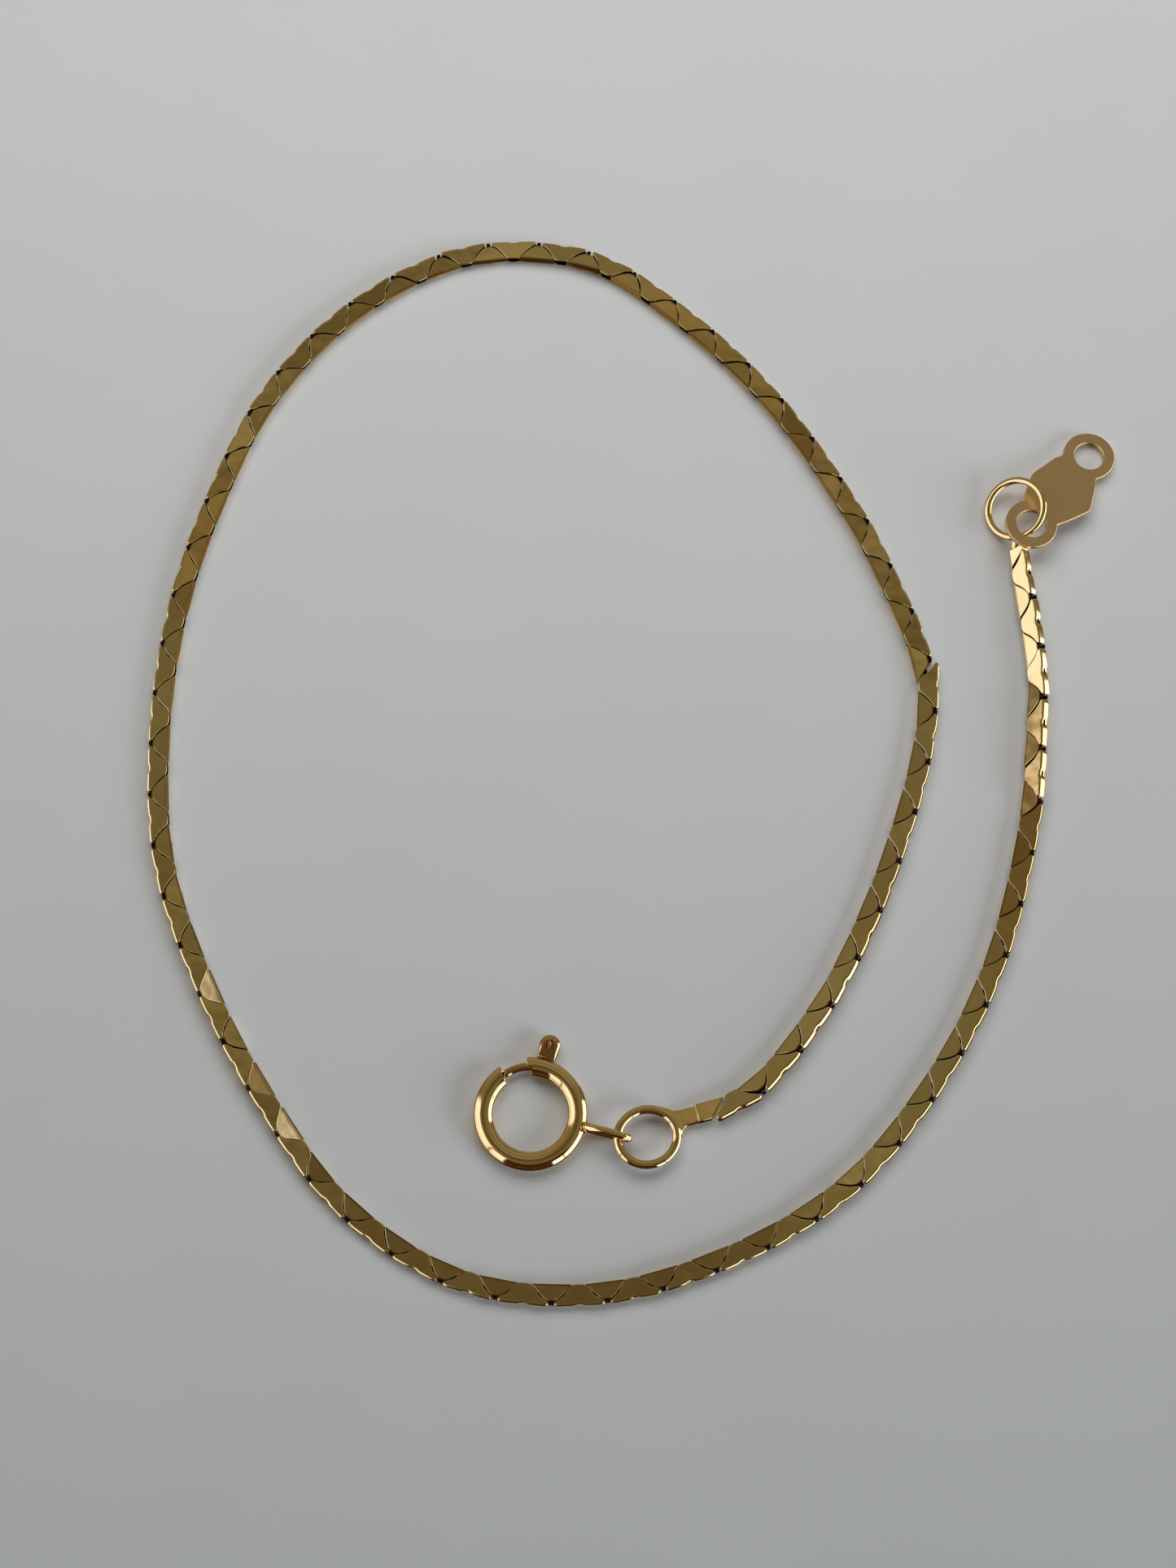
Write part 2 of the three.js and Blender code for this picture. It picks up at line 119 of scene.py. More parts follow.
def colour(hex_value):
    """An sRGB hex value as a linear colour."""
    channels = [int(hex_value[start:start + 2], 16) / 255 for start in (1, 3, 5)]
    linear = [c / 12.92 if c <= 0.04045 else ((c + 0.055) / 1.055) ** 2.4 for c in channels]
    return (*linear, 1.0)


def add_node(tree, kind, inputs=None, **settings):
    """A node with its settings. Each input is a value, or the output that is linked to it."""
    node = tree.nodes.new(kind)
    for name, value in settings.items():
        setattr(node, name, value)
    for key, value in (inputs or {}).items():
        if isinstance(value, bpy.types.NodeSocket):
            tree.links.new(value, node.inputs[key])
        else:
            node.inputs[key].default_value = value
    return node


# Finishes

def start_material(name):
    material = bpy.data.materials.new(name)
    material.use_nodes = True
    material.node_tree.nodes.clear()
    return material, material.node_tree


def end_material(tree, shader):
    add_node(tree, "ShaderNodeOutputMaterial", {"Surface": shader.outputs[0]})


def mix_colours(tree, share, first, second):
    node = add_node(tree, "ShaderNodeMix", data_type="RGBA")
    for socket, value in ((node.inputs[0], share), (node.inputs[6], first), (node.inputs[7], second)):
        if isinstance(value, bpy.types.NodeSocket):
            tree.links.new(value, socket)
        else:
            socket.default_value = value
    return node.outputs[2]


def noise(tree, coordinates, size, detail=2.0):
    """Noise whose features have that size in millimetres."""
    inputs = {"Vector": coordinates, "Scale": 1 / (size * MM), "Detail": detail, "Roughness": 0.5}
    return add_node(tree, "ShaderNodeTexNoise", inputs).outputs[0]


def spread(tree, value, low, high):
    """A value from 0 to 1 spread from low to high."""
    return add_node(tree, "ShaderNodeMapRange", {"Value": value, "To Min": low, "To Max": high}).outputs[0]


def bump(tree, height, depth, below=None):
    """Relief of that depth in millimetres, on top of another."""
    inputs = {"Height": height, "Distance": depth * MM, "Strength": 1.0}
    if below is not None:
        inputs["Normal"] = below
    return add_node(tree, "ShaderNodeBump", inputs).outputs[0]


def rolled_gold():
    # 14 carat yellow gold sheet, rolled and pressed bright. The facets wave a little. The grooves
    # and recesses between the links get painted shade: dark brown, and rougher there.
    material, tree = start_material("rolled_yellow_gold")
    place = add_node(tree, "ShaderNodeTexCoord").outputs["Object"]
    tone = add_node(tree, "ShaderNodeAttribute", attribute_name="tone").outputs["Fac"]
    painted_groove_shade = add_node(tree, "ShaderNodeAttribute", attribute_name="painted_groove_shade").outputs["Fac"]
    metal = mix_colours(tree, tone, colour("#E6CE8C"), colour("#EFD99C"))
    smears = spread(tree, noise(tree, place, 1.7, 3.0), 0.0, 0.4)
    metal = mix_colours(tree, smears, metal, colour("#D7BA6C"))
    # Some stretches of the chain have a browner film
    film = add_node(tree, "ShaderNodeMapRange", {
        "Value": noise(tree, place, 14.0, 1.0), "From Min": 0.5, "From Max": 0.68, "To Max": 0.5,
    }).outputs[0]
    metal = mix_colours(tree, film, metal, colour("#C08A3A"))
    # Painted shade: dark brown in the grooves and recesses between the links
    metal = mix_colours(tree, painted_groove_shade, metal, colour("#3B1D0B"))
    waves = bump(tree, noise(tree, place, 1.1, 1.5), 0.03)
    grain = bump(tree, noise(tree, place, 0.09, 2.0), 0.0006, waves)
    shine = spread(tree, noise(tree, place, 0.5, 3.0), 0.1, 0.22)
    rough = add_node(tree, "ShaderNodeMath", {0: painted_groove_shade, 1: 0.3, 2: shine}, operation="MULTIPLY_ADD")
    shader = add_node(tree, "ShaderNodeBsdfPrincipled", {
        "Base Color": metal, "Metallic": 1.0, "Roughness": rough.outputs[0], "Normal": grain,
    })
    end_material(tree, shader)
    return material


def polished_gold(name, light, deep):
    # 14 carat yellow gold wire and tube, drawn and wheel polished: a near mirror that is slightly
    # uneven from the wheel, with faint rubbed patches.
    material, tree = start_material(name)
    place = add_node(tree, "ShaderNodeTexCoord").outputs["Object"]
    metal = mix_colours(tree, noise(tree, place, 0.9, 3.0), colour(light), colour(deep))
    waves = bump(tree, noise(tree, place, 0.7, 1.0), 0.008)
    grain = bump(tree, noise(tree, place, 0.08, 2.0), 0.0003, waves)
    shine = spread(tree, noise(tree, place, 0.4, 3.0), 0.03, 0.12)
    shader = add_node(tree, "ShaderNodeBsdfPrincipled", {
        "Base Color": metal, "Metallic": 1.0, "Roughness": shine, "Normal": grain,
    })
    end_material(tree, shader)
    return material


def satin_gold():
    # 14 carat yellow gold plate, stamped and barrel finished to an even satin with fine grain.
    material, tree = start_material("satin_yellow_gold")
    place = add_node(tree, "ShaderNodeTexCoord").outputs["Object"]
    metal = mix_colours(tree, noise(tree, place, 0.8, 3.0), colour("#F2D6A2"), colour("#EACB93"))
    grain = bump(tree, noise(tree, place, 0.05, 3.0), 0.0012)
    shine = spread(tree, noise(tree, place, 0.3, 3.0), 0.38, 0.5)
    shader = add_node(tree, "ShaderNodeBsdfPrincipled", {
        "Base Color": metal, "Metallic": 1.0, "Roughness": shine, "Normal": grain,
    })
    end_material(tree, shader)
    return material


def table_laminate():
    # A pale grey matt laminate with a very fine grain and hardly any shine.
    material, tree = start_material("pale_matt_laminate")
    place = add_node(tree, "ShaderNodeTexCoord").outputs["Object"]
    tint = mix_colours(tree, noise(tree, place, 9.0, 4.0), colour("#DADBD9"), colour("#DFE0DE"))
    grain = bump(tree, noise(tree, place, 0.3, 2.0), 0.0015)
    shader = add_node(tree, "ShaderNodeBsdfPrincipled", {
        "Base Color": tint, "Roughness": 0.5, "Specular IOR Level": 0.35, "Normal": grain,
    })
    end_material(tree, shader)
    return material


# Making meshes

def new_piece(name, vertices, faces, matrix=Matrix.Identity(4)):
    """An object whose mesh is given in millimetres in the frame of that matrix."""
    mesh = bpy.data.meshes.new(name)
    mesh.from_pydata([matrix @ Vector(v) for v in vertices], [], faces)
    mesh.transform(Matrix.Scale(MM, 4) @ Matrix.Translation(CENTRE_SHIFT))
    piece = bpy.data.objects.new(name, mesh)
    bpy.context.scene.collection.objects.link(piece)
    return piece


def made_plain(piece):
    """The piece with its modifiers worked into its mesh."""
    bpy.context.view_layer.update()
    evaluated = piece.evaluated_get(bpy.context.evaluated_depsgraph_get())
    mesh = bpy.data.meshes.new_from_object(evaluated)
    piece.modifiers.clear()
    piece.data = mesh
    return piece


def combine(piece, other, operation):
    """Adds the other solid to the piece or cuts it out, and removes it."""
    modifier = piece.modifiers.new("combine", "BOOLEAN")
    modifier.object = other
    modifier.operation = operation
    modifier.solver = "EXACT"
    made_plain(piece)
    bpy.data.objects.remove(other)
    return piece


def joined(piece, *others):
    """The meshes of several pieces as one mesh."""
    whole = bmesh.new()
    for part in (piece, *others):
        whole.from_mesh(part.data)
    whole.to_mesh(piece.data)
    whole.free()
    for part in others:
        bpy.data.objects.remove(part)
    return piece


def shade(piece, crease=38):
    """Smooth shading with sharp edges where two faces meet at more than the crease's angle."""
    mesh = bmesh.new()
    mesh.from_mesh(piece.data)
    bmesh.ops.remove_doubles(mesh, verts=mesh.verts, dist=0.0005 * MM)
    for face in mesh.faces:
        face.smooth = True
    for edge in mesh.edges:
        edge.smooth = len(edge.link_faces) != 2 or edge.calc_face_angle(0) < math.radians(crease)
    mesh.to_mesh(piece.data)
    mesh.free()
    return piece


def finished(piece, material, body, node):
    """Gives a piece its finish and its place in the frame."""
    piece.data.materials.clear()
    piece.data.materials.append(material)
    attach(piece, body)
    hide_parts(node)


def sweep(frames, section, closed=False):
    """A tube: the section's points at each frame of centre, first axis and second axis."""
    count = len(section)
    vertices = [centre + first * a + second * b for centre, first, second in frames for a, b in section]
    faces = []
    for row in range(len(frames) if closed else len(frames) - 1):
        here, there = row * count, (row + 1) % len(frames) * count
        for k in range(count):
            after = (k + 1) % count
            faces.append((here + k, here + after, there + after, there + k))
    if not closed:
        faces.append(tuple(range(count - 1, -1, -1)))
        faces.append(tuple(range(len(vertices) - count, len(vertices))))
    return vertices, faces


def slab(name, outline, half, middle=Vector(), matrix=Matrix.Identity(4)):
    """An upright slab of that outline round its middle, from half below it to half above it."""
    frames = [(middle + Z_AXIS * z, X_AXIS, Y_AXIS) for z in (-half, half)]
    return new_piece(name, *sweep(frames, outline), matrix)


def circle(radius, sides):
    turns = [2 * math.pi * k / sides for k in range(sides)]
    return [(radius * math.cos(turn), radius * math.sin(turn)) for turn in turns]


def polar(angle, radius=1.0, z=0.0):
    """The point at that angle in degrees round the z axis."""
    return Vector((radius * math.cos(math.radians(angle)), radius * math.sin(math.radians(angle)), z))


def ring_mesh(half_length, half_width, wire, segments=96, sides=20):
    """A closed oval wire ring round the z axis."""
    frames = []
    for step in range(segments):
        turn = 2 * math.pi * step / segments
        outwards = Vector((half_width * math.cos(turn), half_length * math.sin(turn), 0)).normalized()
        centre = Vector((half_length * math.cos(turn), half_width * math.sin(turn), 0))
        frames.append((centre, outwards, Z_AXIS))
    return sweep(frames, circle(wire, sides)[::-1], closed=True)


def box_mesh(low, high):
    corners = [(x, y, z) for z in (low[2], high[2]) for y in (low[1], high[1]) for x in (low[0], high[0])]
    faces = [(0, 2, 3, 1), (4, 5, 7, 6), (0, 1, 5, 4), (2, 6, 7, 3), (0, 4, 6, 2), (1, 3, 7, 5)]
    return corners, faces


def ball_mesh(radii, middle=(0, 0, 0), rows=14, columns=24):
    """A closed ellipsoid."""
    vertices = [Vector((0, 0, -1))]
    for row in range(1, rows):
        lift = math.pi * row / rows - math.pi / 2
        for column in range(columns):
            turn = 2 * math.pi * column / columns
            vertices.append(Vector((
                math.cos(lift) * math.cos(turn), math.cos(lift) * math.sin(turn), math.sin(lift),
            )))
    vertices.append(Vector((0, 0, 1)))
    faces = []
    for column in range(columns):
        after = (column + 1) % columns
        faces.append((0, 1 + after, 1 + column))
        for row in range(rows - 2):
            here, there = 1 + row * columns, 1 + (row + 1) * columns
            faces.append((here + column, here + after, there + after, there + column))
        last = 1 + (rows - 2) * columns
        faces.append((last + column, last + after, len(vertices) - 1))
    placed = [Vector(middle) + Vector([r * c for r, c in zip(radii, v)]) for v in vertices]
    return placed, faces


def smooth_line(points, steps):
    """More points along a curve that goes through the given ones."""
    ends = [points[0], *points, points[-1]]
    line = []
    for before, start, end, after in zip(ends, ends[1:], ends[2:], ends[3:]):
        for step in range(steps):
            t = step / steps
            line.append(tuple(
                0.5 * (2 * b + (c - a) * t + (2 * a - 5 * b + 4 * c - d) * t ** 2
                       + (3 * b - a - 3 * c + d) * t ** 3)
                for a, b, c, d in zip(before, start, end, after)
            ))
    return [*line, tuple(points[-1])]


def rounded_plate(outline, thickness, rounding, steps=3):
    """A flat plate with rounded edges. rounding gives the radius at each point of the outline."""
    count = len(outline)
    inwards = []
    for k in range(count):
        before, here, after = (Vector(outline[(k + shift) % count]) for shift in (-1, 0, 1))
        first, second = (here - before).normalized(), (after - here).normalized()
        normal = Vector((-first.y - second.y, first.x + second.x)).normalized()
        inwards.append(normal / max(0.6, normal.dot(Vector((-first.y, first.x)))))
    # A narrow flat strip inside the rounding keeps the shading of the flat face even
    strip = 0.012
    flat = [Vector(p) + i * (r + strip) for p, i, r in zip(outline, inwards, rounding)]
    rings = [[(place.x, place.y, thickness / 2) for place in flat]]
    for step in range(steps + 1):
        turn = math.pi / 2 * step / steps
        ring = []
        for point, inward, radius in zip(outline, inwards, rounding):
            place = Vector(point) + inward * radius * (1 - math.sin(turn))
            ring.append((place.x, place.y, thickness / 2 - radius * (1 - math.cos(turn))))
        rings.append(ring)
    rings += [[(x, y, -z) for x, y, z in ring] for ring in reversed(rings)]
    vertices = [vertex for ring in rings for vertex in ring]
    faces = [tuple(range(count)), tuple(range(len(vertices) - 1, len(vertices) - count - 1, -1))]
    for row in range(len(rings) - 1):
        for k in range(count):
            after = (k + 1) % count
            upper, lower = row * count, (row + 1) * count
            faces.append((upper + after, upper + k, lower + k, lower + after))
    return vertices, faces


def filleted(corners):
    """An outline whose corners (x, y, rounding) are rounded."""
    outline = []
    for k, (x, y, size) in enumerate(corners):
        here = Vector((x, y))
        if size == 0:
            outline.append(here)
            continue
        before = Vector(corners[k - 1][:2])
        after = Vector(corners[(k + 1) % len(corners)][:2])
        start = here + (before - here).normalized() * size
        end = here + (after - here).normalized() * size
        for step in range(7):
            t = step / 6
            outline.append(start * (1 - t) ** 2 + here * 2 * t * (1 - t) + end * t ** 2)
    return outline


# The chain's route

def route_line():
    """The route's points, their distances along it and the distances of its rows."""
    rows = [Vector(row[:2]) for row in ROUTE]
    ends = [2 * rows[0] - rows[1], *rows, 2 * rows[-1] - rows[-2]]
    points = []
    for before, start, end, after in zip(ends, ends[1:], ends[2:], ends[3:]):
        for step in range(ROW_STEPS):
            t = step / ROW_STEPS
            points.append(0.5 * (
                2 * start + (end - before) * t + (2 * before - 5 * start + 4 * end - after) * t ** 2
                + (3 * start - before - 3 * end + after) * t ** 3
            ))
    points.append(rows[-1])
    steps = [(after - before).length for before, after in zip(points, points[1:])]
    distances = np.concatenate([[0], np.cumsum(steps)])
    return np.array(points), distances, distances[::ROW_STEPS]


LINE, LINE_AT, ROWS_AT = route_line()


def roll_at(distance):
    """The angle in degrees by which the outer edge is raised there."""
    return np.interp(distance, ROWS_AT, [row[2] for row in ROUTE])


def resting_height(roll):
    """The height of the chain's middle over the table when its lowest edge touches it."""
    turn = math.radians(roll)
    return CHAIN_HALF_WIDTH * abs(math.sin(turn)) + HOOD_THICKNESS / 2 * math.cos(turn)


def link_frame(distance):
    """The frame of a link: x along the chain, y to the straight inner edge, z out of the upper face."""
    def point(at):
        return Vector([np.interp(at, LINE_AT, LINE[:, axis]) for axis in (0, 1)] + [0])
    on_line = min(max(distance, 0.0), LINE_AT[-1])
    near = min(max(on_line, 0.05), LINE_AT[-1] - 0.05)
    along = (point(near + 0.05) - point(near - 0.05)).normalized()
    roll = math.radians(roll_at(distance))
    inner = Vector((-along.y * math.cos(roll), along.x * math.cos(roll), -math.sin(roll)))
    face = along.cross(inner)
    place = point(on_line) + along * (distance - on_line)
    place.z = resting_height(roll_at(distance))
    frame_matrix = Matrix((along, inner, face)).transposed().to_4x4()
    frame_matrix.translation = place
    return frame_matrix


# The links

def with_painted_groove_shade(link, thickness, wall_side):
    """Marks the painted shade at each point of a link, dark below its faces. The side with the wall is +1
    for +y and -1 for -y.
    """
    mesh = link.data
    # Painted shade in the recesses, kept as a point attribute for the chain's material
    attribute = mesh.attributes.new("painted_groove_shade", "FLOAT", "POINT")
    shares = []
    for vertex in mesh.vertices:
        place = (vertex.co - CENTRE_SHIFT * MM) / MM
        depth = thickness / 2 - abs(place.z)
        on_wall = wall_side * place.y > CHAIN_HALF_WIDTH - 0.09
        share = 0.0 if on_wall else np.interp(depth, (0.008, 0.035), (0.0, 1.0))
        if wall_side > 0:
            # A wedge's stem lies deep between the hoods and gets painted shade all over
            share = max(share, np.interp(place.y, (-0.24, -0.2), (1.0, 0.0)))
        else:
            # The painted shade is left off along a hood's outer edge
            share *= np.interp(place.y, (-0.42, -0.3), (0.0, 1.0))
        shares.append(share)
    attribute.data.foreach_set("value", shares)


def mirrored(side):
    return [*side, *[(-x, y) for x, y in reversed(side) if x > 0]]


HOOD_BASE = [
    (0, -0.388), (0.09, -0.39), (0.14, -0.402), (0.2, -0.428), (0.3, -0.445), (0.55, -0.451),
    (0.84, -0.45), (1.01, -0.44), (1.07, -0.41),
]
HOOD_FLANK = [
    (1.085, -0.35), (1.06, -0.29), (0.985, -0.235), (0.86, -0.16), (0.72, -0.06), (0.59, 0.07),
    (0.48, 0.2), (0.37, 0.335), (0.25, 0.425),
]
WEDGE_FLANK = [
    (0.085, -0.425), (0.09, -0.31), (0.14, -0.245), (0.27, -0.165), (0.405, -0.06), (0.535, 0.075),
    (0.645, 0.21), (0.76, 0.345), (0.87, 0.425),
]
END_FLANK = [(0.05, -0.38), (0.12, -0.31), (0.355, -0.05), (0.575, 0.2), (0.7, 0.34), (0.78, 0.42)]


def hood_link():
    """A bell-shaped sheet folded over at the outer edge, with an eye in the fold and two pins inside."""
    outline = mirrored([*HOOD_BASE, *smooth_line(HOOD_FLANK, 2), (0.13, 0.444)])
    rounding = [np.interp(y, (-0.4, -0.28), (0.085, 0.022)) for x, y in outline]
    hood = new_piece("hood_link", *rounded_plate(outline, HOOD_THICKNESS, rounding))
    inside = HOOD_THICKNESS / 2 - SHEET
    hollow = box_mesh((-1.3, HOOD_FOLD_Y, -inside), (1.3, 0.7, inside))
    combine(hood, new_piece("hollow", *hollow), "DIFFERENCE")
    eye = ball_mesh(HOOD_EYE["radii"], HOOD_EYE["middle"], 8, 16)
    combine(hood, new_piece("eye", *eye), "DIFFERENCE")
    for side in (-1, 1):
        middle = Vector((side * PIN["x"], PIN["y"], 0))
        combine(hood, slab("pin", circle(PIN["radius"], 8), inside + 0.03, middle), "UNION")
    return hood


def tongue_outline(sides):
    """The tongue in a wedge link's middle plane, which ends in a ring on each of those sides."""
    reach = LINK_PITCH / 2 - PIN["x"]
    start = math.asin(TONGUE["half_width"] / TONGUE["ring"])
    turns = [start - math.pi + (2 * math.pi - 2 * start) * step / 12 for step in range(13)]
    arc = [(reach + TONGUE["ring"] * math.cos(turn), TONGUE["ring"] * math.sin(turn)) for turn in turns]
    return [[(side * x, side * y) for x, y in arc] for side in sides]


def wedge_link():
    """The sheet between two hoods, folded over at the inner edge, with the tongue that holds both."""
    edge = [(0.88, 0.437), (0.85, 0.442), (0.4, 0.444), (0, 0.444)]
    outline = mirrored([*smooth_line(WEDGE_FLANK, 2), *edge])
    rounding = [np.interp(y, (0.3, 0.42), (0.02, 0.035)) for x, y in outline]
    wedge = new_piece("wedge_link", *rounded_plate(outline, WEDGE_THICKNESS, rounding))
    inside = WEDGE_THICKNESS / 2 - SHEET
    hollow = box_mesh((-1.3, -0.7, -inside), (1.3, WEDGE_FOLD_Y, inside))
    combine(wedge, new_piece("hollow", *hollow), "DIFFERENCE")
    right, left = tongue_outline((1, -1))
    stem = [(-0.34, TONGUE["half_width"]), (-0.34, 0.38), (0.34, 0.38), (0.34, TONGUE["half_width"])]
    tongue = slab("tongue", [*right, *reversed(stem), *left], TONGUE["thickness"] / 2)
    for side in (-1, 1):
        middle = Vector((side * (LINK_PITCH / 2 - PIN["x"]), PIN["y"], 0))
        combine(tongue, slab("eye", circle(TONGUE["eye"], 8), 0.2, middle), "DIFFERENCE")
    return combine(wedge, tongue, "UNION")


def chain_nodes():
    """The node tree that sets hoods and wedges in turn along a route."""
    tree = bpy.data.node_groups.new("links_along_a_route", "GeometryNodeTree")
    sockets = [
        ("Route", "Geometry"), ("Hood", "Object"), ("Wedge", "Object"), ("Hoods", "Int"),
        ("Pitch", "Float"), ("First hood", "Float"), ("Tilt", "Float"), ("Seed", "Int"),
        ("Finish", "Material"),
    ]
    for name, kind in sockets:
        tree.interface.new_socket(name, in_out="INPUT", socket_type="NodeSocket" + kind)
    tree.interface.new_socket("Chain", in_out="OUTPUT", socket_type="NodeSocketGeometry")
    given = add_node(tree, "NodeGroupInput").outputs
    curve = add_node(tree, "GeometryNodeMeshToCurve", {"Mesh": given["Route"]}).outputs[0]
    count = add_node(
        tree, "ShaderNodeMath", {0: given["Hoods"], 1: 2.0, 2: -1.0}, operation="MULTIPLY_ADD",
    ).outputs[0]
    seats = add_node(tree, "GeometryNodePoints", {"Count": count}).outputs[0]
    index = add_node(tree, "GeometryNodeInputIndex").outputs[0]
    half = add_node(tree, "ShaderNodeMath", {0: given["Pitch"], 1: 0.5}, operation="MULTIPLY").outputs[0]
    at = add_node(
        tree, "ShaderNodeMath", {0: index, 1: half, 2: given["First hood"]}, operation="MULTIPLY_ADD",
    ).outputs[0]

    def sampled(name):
        """The route's attribute at each seat, with its place and direction there."""
        value = add_node(tree, "GeometryNodeInputNamedAttribute", {"Name": name}, data_type="FLOAT_VECTOR")
        return add_node(
            tree, "GeometryNodeSampleCurve", {"Curves": curve, "Value": value.outputs[0], "Length": at},
            data_type="FLOAT_VECTOR", mode="LENGTH", use_all_curves=True,
        ).outputs

    inner, lean, shift = sampled("inner"), sampled("lean"), sampled("shift")
    place = add_node(
        tree, "ShaderNodeVectorMath", {0: inner["Position"], 1: shift["Value"]}, operation="ADD",
    ).outputs[0]
    seats = add_node(tree, "GeometryNodeSetPosition", {"Geometry": seats, "Position": place}).outputs[0]
    axes = add_node(
        tree, "FunctionNodeAxesToRotation",
        {"Primary Axis": inner["Tangent"], "Secondary Axis": inner["Value"]},
        primary_axis="X", secondary_axis="Y",
    ).outputs[0]
    most = add_node(tree, "ShaderNodeCombineXYZ", {0: given["Tilt"], 1: given["Tilt"], 2: 0.0}).outputs[0]
    least = add_node(tree, "ShaderNodeVectorMath", {0: most, "Scale": -1.0}, operation="SCALE").outputs[0]
    scatter = add_node(
        tree, "FunctionNodeRandomValue", {0: least, 1: most, "Seed": given["Seed"]},
        data_type="FLOAT_VECTOR",
    ).outputs[0]
    tilt = add_node(
        tree, "ShaderNodeVectorMath", {0: lean["Value"], 1: scatter}, operation="ADD",
    ).outputs[0]
    tilt = add_node(tree, "FunctionNodeEulerToRotation", {0: tilt}).outputs[0]
    turn = add_node(
        tree, "FunctionNodeRotateRotation", {0: axes, 1: tilt}, rotation_space="LOCAL",
    ).outputs[0]
    tone = add_node(
        tree, "FunctionNodeRandomValue", {2: 0.0, 3: 1.0, "Seed": given["Seed"]}, data_type="FLOAT",
    ).outputs[1]
    seats = add_node(
        tree, "GeometryNodeStoreNamedAttribute", {"Geometry": seats, "Name": "tone", "Value": tone},
        data_type="FLOAT", domain="POINT",
    ).outputs[0]
    is_wedge = add_node(tree, "ShaderNodeMath", {0: index, 1: 2.0}, operation="MODULO").outputs[0]
    is_hood = add_node(tree, "ShaderNodeMath", {0: 1.0, 1: is_wedge}, operation="SUBTRACT").outputs[0]
    join = add_node(tree, "GeometryNodeJoinGeometry")
    for name, chosen in (("Hood", is_hood), ("Wedge", is_wedge)):
        link = add_node(tree, "GeometryNodeObjectInfo", {"Object": given[name], "As Instance": True})
        placed = add_node(tree, "GeometryNodeInstanceOnPoints", {
            "Points": seats, "Selection": chosen, "Instance": link.outputs["Geometry"], "Rotation": turn,
        })
        tree.links.new(placed.outputs[0], join.inputs[0])
    real = add_node(tree, "GeometryNodeRealizeInstances", {"Geometry": join.outputs[0]}).outputs[0]
    done = add_node(tree, "GeometryNodeSetMaterial", {"Geometry": real, "Material": given["Finish"]})
    add_node(tree, "NodeGroupOutput", {0: done.outputs[0]})
    return tree


def build_chain(material):
    hood = shade(hood_link())
    with_painted_groove_shade(hood, HOOD_THICKNESS, -1)
    wedge = shade(wedge_link())
    with_painted_groove_shade(wedge, WEDGE_THICKNESS, 1)
    # The route carries the shift, so the links that are set on it have none
    for link in (hood, wedge):
        link.data.transform(Matrix.Translation(-CENTRE_SHIFT * MM))
    distances = np.arange(0, FIRST_HOOD_AT + HOOD_COUNT * LINK_PITCH, ROUTE_STEP)
    frames = [link_frame(distance) for distance in distances]
    route = new_piece("chain_links", [seat.translation for seat in frames], [])
    edges = route.data.edges
    edges.add(len(frames) - 1)
    edges.foreach_set("vertices", [k for start in range(len(frames) - 1) for k in (start, start + 1)])
    values = {"inner": [], "lean": [], "shift": []}
    for distance, seat in zip(distances, frames):
        inner = seat.col[1].xyz
        number = round((distance - FIRST_HOOD_AT) / (LINK_PITCH / 2))
        about, across = ODD_LINKS.get(number, (0, 0))
        bent = number == 2 * BENT_HOOD["index"]
        values["inner"].append(inner)
        values["lean"].append([math.radians(a) for a in (about, across, BENT_HOOD["turn"] if bent else 0)])
        # A link that leans more than its neighbours is raised until its lowest edge clears the table
        roll = roll_at(distance)
        raised = max(0.0, resting_height(roll - about) - resting_height(roll))
        values["shift"].append((Z_AXIS * raised - inner * BENT_HOOD["out"] * bent) * MM)
    for name, vectors in values.items():
        attribute = route.data.attributes.new(name, "FLOAT_VECTOR", "POINT")
        attribute.data.foreach_set("vector", np.array(vectors, float).ravel())
    tree = chain_nodes()
    modifier = route.modifiers.new("links", "NODES")
    modifier.node_group = tree
    inputs = {
        "Hood": hood, "Wedge": wedge, "Hoods": HOOD_COUNT, "Pitch": LINK_PITCH * MM,
        "First hood": FIRST_HOOD_AT * MM, "Tilt": math.radians(LINK_TILT), "Seed": 7, "Finish": material,
    }
    for item in tree.interface.items_tree:
        if item.in_out == "INPUT" and item.name in inputs:
            modifier[item.identifier] = inputs[item.name]
    made_plain(route)
    for link in (hood, wedge):
        bpy.data.objects.remove(link)
    return route


def end_link(side, cut, matrix, seat):
    """Half of a wedge link on that side of x, cut off square, with its tongue in the hood next to it."""
    flank = [(side * x, y) for x, y in smooth_line(END_FLANK, 3)]
    outline = [(cut, -0.38), *flank, (side * 0.75, 0.44), (cut, 0.44)]
    if side < 0:
        outline.reverse()
    rounding = [0.08 if y > 0.43 else 0.028 for x, y in outline]
    half = new_piece("end_link", *rounded_plate(outline, WEDGE_THICKNESS, rounding), matrix)
    arc = tongue_outline((side,))[0]
    bar = TONGUE["half_width"]
    outline = [*arc, (side * 0.05, side * bar), (side * 0.05, -side * bar)]
    return combine(half, slab("tongue", outline, TONGUE["thickness"] / 2, matrix=seat), "UNION")


# The spring ring clasp

def clasp_matrix(angle=0.0):
    middle = Vector((CLASP["x"], CLASP["y"], CLASP["tube"]))
    return Matrix.Translation(middle) @ Matrix.Rotation(math.radians(angle), 4, "Z")


